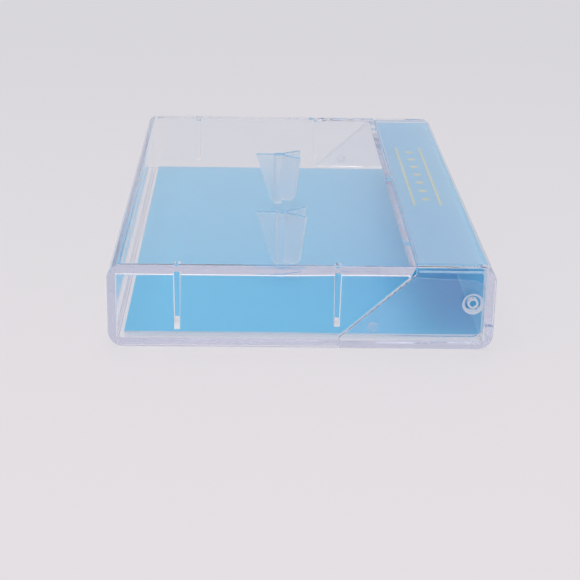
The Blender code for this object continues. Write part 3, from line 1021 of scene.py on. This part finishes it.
# %% Matt, rubbed and highlight faces of the tray
PRONG_REACH = 6.5 * MM
FLAT_TO_END = 0.98
UPRIGHT = 0.2
CORE_HIGHLIGHT_TURNS = (-160.0, -120.0)


def from_axis(place):
    return math.hypot(place.x - PIVOT.x, place.z - PIVOT.z)


def from_snap(place):
    return math.hypot(place.x - SPINE_FACE + SNAP_FROM_SPINE, place.z - SNAP_HEIGHT)


def from_prong(place):
    return math.hypot(place.x - OPENING_FACE - PRONG_FROM_OPENING, abs(place.y) - PRONG_SPACING / 2)


def matt_on_tray(centre):
    on_bump = from_snap(centre) < SNAP_DIAMETER / 2 + WELD and abs(centre.y) > ARM_OUTER + WELD
    return on_bump or (from_prong(centre) < PRONG_REACH and centre.z < PANEL_UNDERSIDE - WELD)


def rubbed_and_highlight_on_tray(centre, normal):
    y = abs(centre.y)
    on_pin = from_axis(centre) < PIN_DIAMETER / 2 and y > END_FACE - PIN_RECESS - PIN_EDGE_ROUND
    on_bump = from_snap(centre) < SNAP_DIAMETER / 2 and y > ARM_OUTER + WELD
    on_core = from_prong(centre) < PRONG_CORE_ROOT / 2 and abs(normal.z) < UPRIGHT
    turned = math.degrees(math.atan2(normal.y, normal.x))
    # Painted highlight: one edge of each prong's core is painted pale, as a bright line down the core.
    on_core_highlight = on_core and CORE_HIGHLIGHT_TURNS[0] < turned < CORE_HIGHLIGHT_TURNS[1]
    on_bump_side = on_bump and abs(normal.y) < FLAT_TO_END
    return on_pin or on_bump_side or (on_core_highlight and centre.z < PANEL_UNDERSIDE - WELD)


mark_faces(tray, "frost", matt_on_tray)
paint_faces(tray, rubbed_and_highlight_rim, rubbed_and_highlight_on_tray)
report(tray)
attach(tray, "tray")
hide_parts("tray_half")

# %% [markdown]
# The cover half is the lower shell: floor, spine, lip and a cheek at each end. It is also one bar, but its
# hollow leaves the cheeks standing, and the floor steps in where the tray's end walls come down beside it.
# The lip's edge is cut back at a slant towards its underside. Slots through the lip and the spine let the
# arms pass when the tray swings right over.

# %% Cover shell
SPINE_WALL = 1.5 * MM
LIP_THICKNESS = 1.7 * MM
LIP_UNDERCUT = 0.6 * MM
LIP_RECESS = 0.02 * MM
CHEEK_SHOULDER_DROP = 1.6 * MM
SLOT_GAP = 0.15 * MM
SPINE_INNER = SPINE_FACE - SPINE_WALL
LIP_UNDERSIDE = TOP - LIP_THICKNESS
FLOOR_END = END_WALL_INNER - CLEARANCE


def slot_floor():
    """Lowest Z of the slots, just below the arms of an open tray."""
    return 2 * PIVOT.z - arm_upper_edge(2 * PIVOT.x - SPINE_FACE) - CLEARANCE


def cover_hollow():
    """The room between the cheeks, with the slanted edge of the lip."""
    lip_edge = LIP_EDGE + LIP_RECESS
    above_lip = lip_edge - LIP_UNDERCUT * MARGIN / LIP_THICKNESS
    outline = [
        (CHEEK_FOOT - MARGIN, COVER_FLOOR),
        (SPINE_INNER, COVER_FLOOR),
        (SPINE_INNER, LIP_UNDERSIDE),
        (lip_edge + LIP_UNDERCUT, LIP_UNDERSIDE),
        (above_lip, TOP + MARGIN),
        (CHEEK_FOOT - MARGIN, TOP + MARGIN),
    ]
    hollow = bar("cover_hollow", outline, -CHEEK_INNER, CHEEK_INNER)
    return round_edges(hollow, INNER_ROUND, INNER_STEPS, lambda middle: middle.x > SPINE_INNER - WELD)


def cover_shell():
    outline = rounded_outline([
        (FLOOR_EDGE, 0.0, 0.0),
        (SPINE_FACE, 0.0, CORNER_RADIUS),
        (SPINE_FACE, TOP, CORNER_RADIUS),
        (LIP_EDGE, TOP, 0.0),
        (LIP_EDGE, TOP - CHEEK_SHOULDER_DROP, 0.0),
        (CHEEK_FOOT, CHEEK_FOOT_HEIGHT, 0.0),
        (CHEEK_FOOT, COVER_FLOOR, 0.0),
        (FLOOR_EDGE, COVER_FLOOR, 0.0),
    ])
    shell = bar("clear_cover", outline, -END_FACE, END_FACE)

    def on_end_rim(middle):
        on_seam = middle.x < LIP_EDGE + WELD and middle.z > EDGE_ROUND
        return abs(middle.y) > END_FACE - WELD and not on_seam

    round_edges(shell, RIM_ROUND, RIM_STEPS, on_end_rim)
    round_edges(shell, EDGE_ROUND, EDGE_STEPS)
    soften_top_ends(shell)
    cut(shell, cover_hollow())
    for side in (-1, 1):
        low, high = sorted((side * FLOOR_END, side * (END_FACE + MARGIN)))
        notch_low = (OPENING_FACE - MARGIN, low, -MARGIN)
        cut(shell, block("floor_notch", notch_low, (CHEEK_FOOT, high, TOP + MARGIN)))
        low, high = sorted((side * (ARM_INNER - SLOT_GAP), side * CHEEK_INNER))
        slot_high = (SPINE_FACE + MARGIN, high, TOP + MARGIN)
        cut(shell, block("arm_slot", (CHEEK_FOOT, low, slot_floor()), slot_high))
    return shell


cover = cover_shell()
report(cover)

# %% [markdown]
# Each cheek has a hole for the pin with a countersunk rim outside, and a dimple inside for the snap bump.
# They are cut with the same rounds that made the pins and bumps, only wider.

# %% Hinge holes and snap dimples
HINGE_HOLE = 2.85 * MM
COUNTERSINK_DIAMETER = 4.0 * MM
COUNTERSINK_DEPTH = 0.6 * MM
SNAP_DIMPLE_DIAMETER = 2.1 * MM
SNAP_DIMPLE_DEPTH = 0.2 * MM


def pierce_cheek(side):
    outside = on_axis(side * (END_FACE + COUNTERSINK_DEPTH))
    inner = on_axis(side * (CHEEK_INNER - CLEARANCE))
    cut(cover, tapered_round("hinge_hole", inner, outside, HINGE_HOLE, HINGE_HOLE))
    bottom = on_axis(side * (END_FACE - COUNTERSINK_DEPTH))
    outside_diameter = 2 * COUNTERSINK_DIAMETER - HINGE_HOLE
    cut(cover, tapered_round("countersink", bottom, outside, HINGE_HOLE, outside_diameter))
    start = snap_point(side * (CHEEK_INNER - CLEARANCE / 2))
    end = snap_point(side * (CHEEK_INNER + SNAP_DIMPLE_DEPTH))
    cut(cover, tapered_round("snap_dimple", start, end, SNAP_DIMPLE_DIAMETER, SNAP_DIAMETER, SNAP_SIDES))


for side in (-1, 1):
    pierce_cheek(side)
smooth_over(cover, cover_plastic)
report(cover)

# %% [markdown]
# The cover gets its matt and rubbed faces by the same kind of rules: the snap dimples are matt, and the
# countersinks and the sides of the dimples are rubbed white. The edge of the lip gets the same pale material
# as painted light, a pale line along it.

# %% Matt, rubbed and painted light faces of the cover
ON_CONE = 0.2
FACING_OPENING = -0.8


def inside_cheek(centre):
    return CHEEK_INNER + WELD < abs(centre.y) < END_FACE - WELD


def matt_on_cover(centre):
    return from_snap(centre) < SNAP_DIMPLE_DIAMETER / 2 and inside_cheek(centre)


def rubbed_and_lip_light_on_cover(centre, normal):
    near_lip_edge = abs(centre.x - LIP_EDGE) < LIP_UNDERCUT and centre.z > LIP_UNDERSIDE
    # Painted light: the lip's slanted edge is painted pale, as a bright line along the lip.
    if near_lip_edge and abs(centre.y) < ARM_INNER:
        return normal.x < FACING_OPENING
    on_rim = from_axis(centre) < COUNTERSINK_DIAMETER / 2 and abs(normal.y) > ON_CONE
    on_snap = from_snap(centre) < SNAP_DIMPLE_DIAMETER / 2
    return (on_rim or on_snap) and abs(normal.y) < FLAT_TO_END and inside_cheek(centre)


mark_faces(cover, "frost", matt_on_cover)
paint_faces(cover, rubbed_and_highlight_rim, rubbed_and_lip_light_on_cover)
report(cover)
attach(cover, "cover")
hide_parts("cover_half")

# %% [markdown]
# The card is one strip folded twice: floor panel, spine panel and flap. A sheet along a folded line is a
# job for Geometry Nodes: fillet the line for the bends, sweep it along the length of the case, and push
# the faces in by the thickness of the board. The side faces of that push are the cut edges, and its top
# faces the inner side. The flap springs up against the lip and touches it. It is sunk in by a hair, so that
# no thin layer of air is left, which would mirror the light.

# %% Card
CARD_SIZES = {
    "Half length": card_high.y,
    "Thickness": 0.35 * MM,
    "Bend": 0.9 * MM,
}
CARD_BEND_STEPS = 10
CARD_LIP_SETBACK = 0.8 * MM
CARD_SPINE_SHIFT = 0.2 * MM
CARD_CLING = 0.005 * MM
FLAP_TOP = LIP_UNDERSIDE + CARD_CLING


def card_path():
    """The folded line on the card's outer side, from the free edge to the flap's."""
    curve = bpy.data.curves.new("card_path", "CURVE")
    curve.dimensions = "3D"
    line = curve.splines.new("POLY")
    places = (
        (card_low.x, card_low.z),
        (card_high.x + CARD_SPINE_SHIFT, card_low.z),
        (card_high.x + CARD_SPINE_SHIFT, FLAP_TOP),
        (LIP_EDGE + CARD_LIP_SETBACK, FLAP_TOP),
    )
    line.points.add(len(places) - 1)
    for corner, (x, z) in zip(line.points, places):
        corner.co = (x, 0.0, z, 1.0)
    return curve


def mark_node(tree, mesh, name, value):
    """Store a value on the faces of a mesh under a name."""
    kind = {"data_type": "FLOAT", "domain": "FACE"}
    return node(tree, "GeometryNodeStoreNamedAttribute", kind, Geometry=mesh, Name=name, Value=value)[0]


def together(tree, *parts):
    """Several geometries as one."""
    both = tree.nodes.new("GeometryNodeJoinGeometry")
    for part in parts:
        tree.links.new(part, both.inputs[0])
    return both.outputs[0]


def card_tree():
    tree, sizes = new_tree("folded card", CARD_SIZES)
    bends = {"Count": CARD_BEND_STEPS, "Radius": sizes["Bend"], "Limit_Radius": True}
    folded = node(tree, "GeometryNodeFilletCurve", {"mode": "POLY"}, Curve=sizes["Geometry"], **bends)[0]
    near = point(tree, X=math_node(tree, "MULTIPLY", sizes["Half length"], -1.0))
    far = point(tree, X=sizes["Half length"])
    length = node(tree, "GeometryNodeCurvePrimitiveLine", Start=near, End=far)[0]
    sheet = node(tree, "GeometryNodeCurveToMesh", Curve=folded, Profile_Curve=length)["Mesh"]
    push = {"Offset_Scale": sizes["Thickness"], "Individual": False}
    thick = node(tree, "GeometryNodeExtrudeMesh", Mesh=sheet, **push)
    edges = mark_node(tree, thick["Mesh"], "cut_edge", thick["Side"])
    sides = mark_node(tree, edges, "inner_side", thick["Top"])
    outer = node(tree, "GeometryNodeFlipFaces", Mesh=sheet)[0]
    both = together(tree, sides, outer)
    closed = node(tree, "GeometryNodeMergeByDistance", Geometry=both, Distance=WELD)[0]
    close_tree(tree, closed, sizes["Material"])
    return tree


card = grow("blue_card", card_tree(), CARD_SIZES, blue_card, card_path())
card.data.shade_smooth()
card.data.set_sharp_from_angle(angle=SHARP)
report(card)
print("card reaches", reach_of(card))
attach(card, "cover")
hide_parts("card_insert")

# %% [markdown]
# Thin gold foil is pressed on the flap. Pressed foil is thinner and duller than metal, so it is only partly
# metallic, with a wear of noise in its colour and roughness.

# %% Gold foil
FOIL_LIGHT = (0.94, 0.90, 0.66, 1.0)
FOIL_DARK = (0.88, 0.82, 0.55, 1.0)
FOIL_METALLIC = 0.3
FOIL_ROUGHNESS = (0.25, 0.45)
FOIL_WEAR = (700.0, 3.0)


def foil_finish():
    material, tree, shader = new_material("gold foil")
    wear = noise(tree, own_place(tree), *FOIL_WEAR)
    colour = blend(tree, wear, FOIL_LIGHT, FOIL_DARK)
    rough = stretch(tree, wear, *FOIL_ROUGHNESS)
    fill(tree, shader, Base_Color=colour, Metallic=FOIL_METALLIC, Roughness=rough)
    return material


gold_foil = foil_finish()
print("foil finish", gold_foil.name)

# %% [markdown]
# The pattern is a plain one: a row of dots between two rules. Both are copies on points, so Geometry Nodes
# sets them out, each a thin closed solid.

# %% Foil pattern
FOIL_SINK = 0.005 * MM
FOIL_SIZES = {
    "First dot": -12.0 * MM,
    "Dot step": 6.0 * MM,
    "Dot radius": 0.9 * MM,
    "Middle": 26.6 * MM,
    "Apart": 5.4 * MM,
    "Rule length": 44.0 * MM,
    "Rule width": 0.5 * MM,
    "Rule middle": 6.0 * MM,
    "Thickness": 0.01 * MM,
    "Height": FLAP_TOP + FOIL_SINK,
}
FOIL_DOTS = 7
DOT_SIDES = 24


def foil_tree():
    tree, sizes = new_tree("foil pattern", FOIL_SIZES)
    first_dot = point(tree, X=sizes["Middle"], Y=sizes["First dot"], Z=sizes["Height"])
    dot_places = row(tree, FOIL_DOTS, first_dot, point(tree, Y=sizes["Dot step"]))
    dot_size = {"Radius": sizes["Dot radius"], "Depth": sizes["Thickness"]}
    dot = node(tree, "GeometryNodeMeshCylinder", Vertices=DOT_SIDES, **dot_size)["Mesh"]
    rule_x = math_node(tree, "MULTIPLY_ADD", sizes["Apart"], -0.5, sizes["Middle"])
    first_rule = point(tree, X=rule_x, Y=sizes["Rule middle"], Z=sizes["Height"])
    rule_places = row(tree, 2, first_rule, point(tree, X=sizes["Apart"]))
    rule_size = point(tree, X=sizes["Rule width"], Y=sizes["Rule length"], Z=sizes["Thickness"])
    rule = node(tree, "GeometryNodeMeshCube", Size=rule_size)["Mesh"]
    both = together(tree, copied(tree, dot, dot_places), copied(tree, rule, rule_places))
    close_tree(tree, both, sizes["Material"])
    return tree


foil = grow("foil_pattern", foil_tree(), FOIL_SIZES, gold_foil)
report(foil)
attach(foil, "cover")
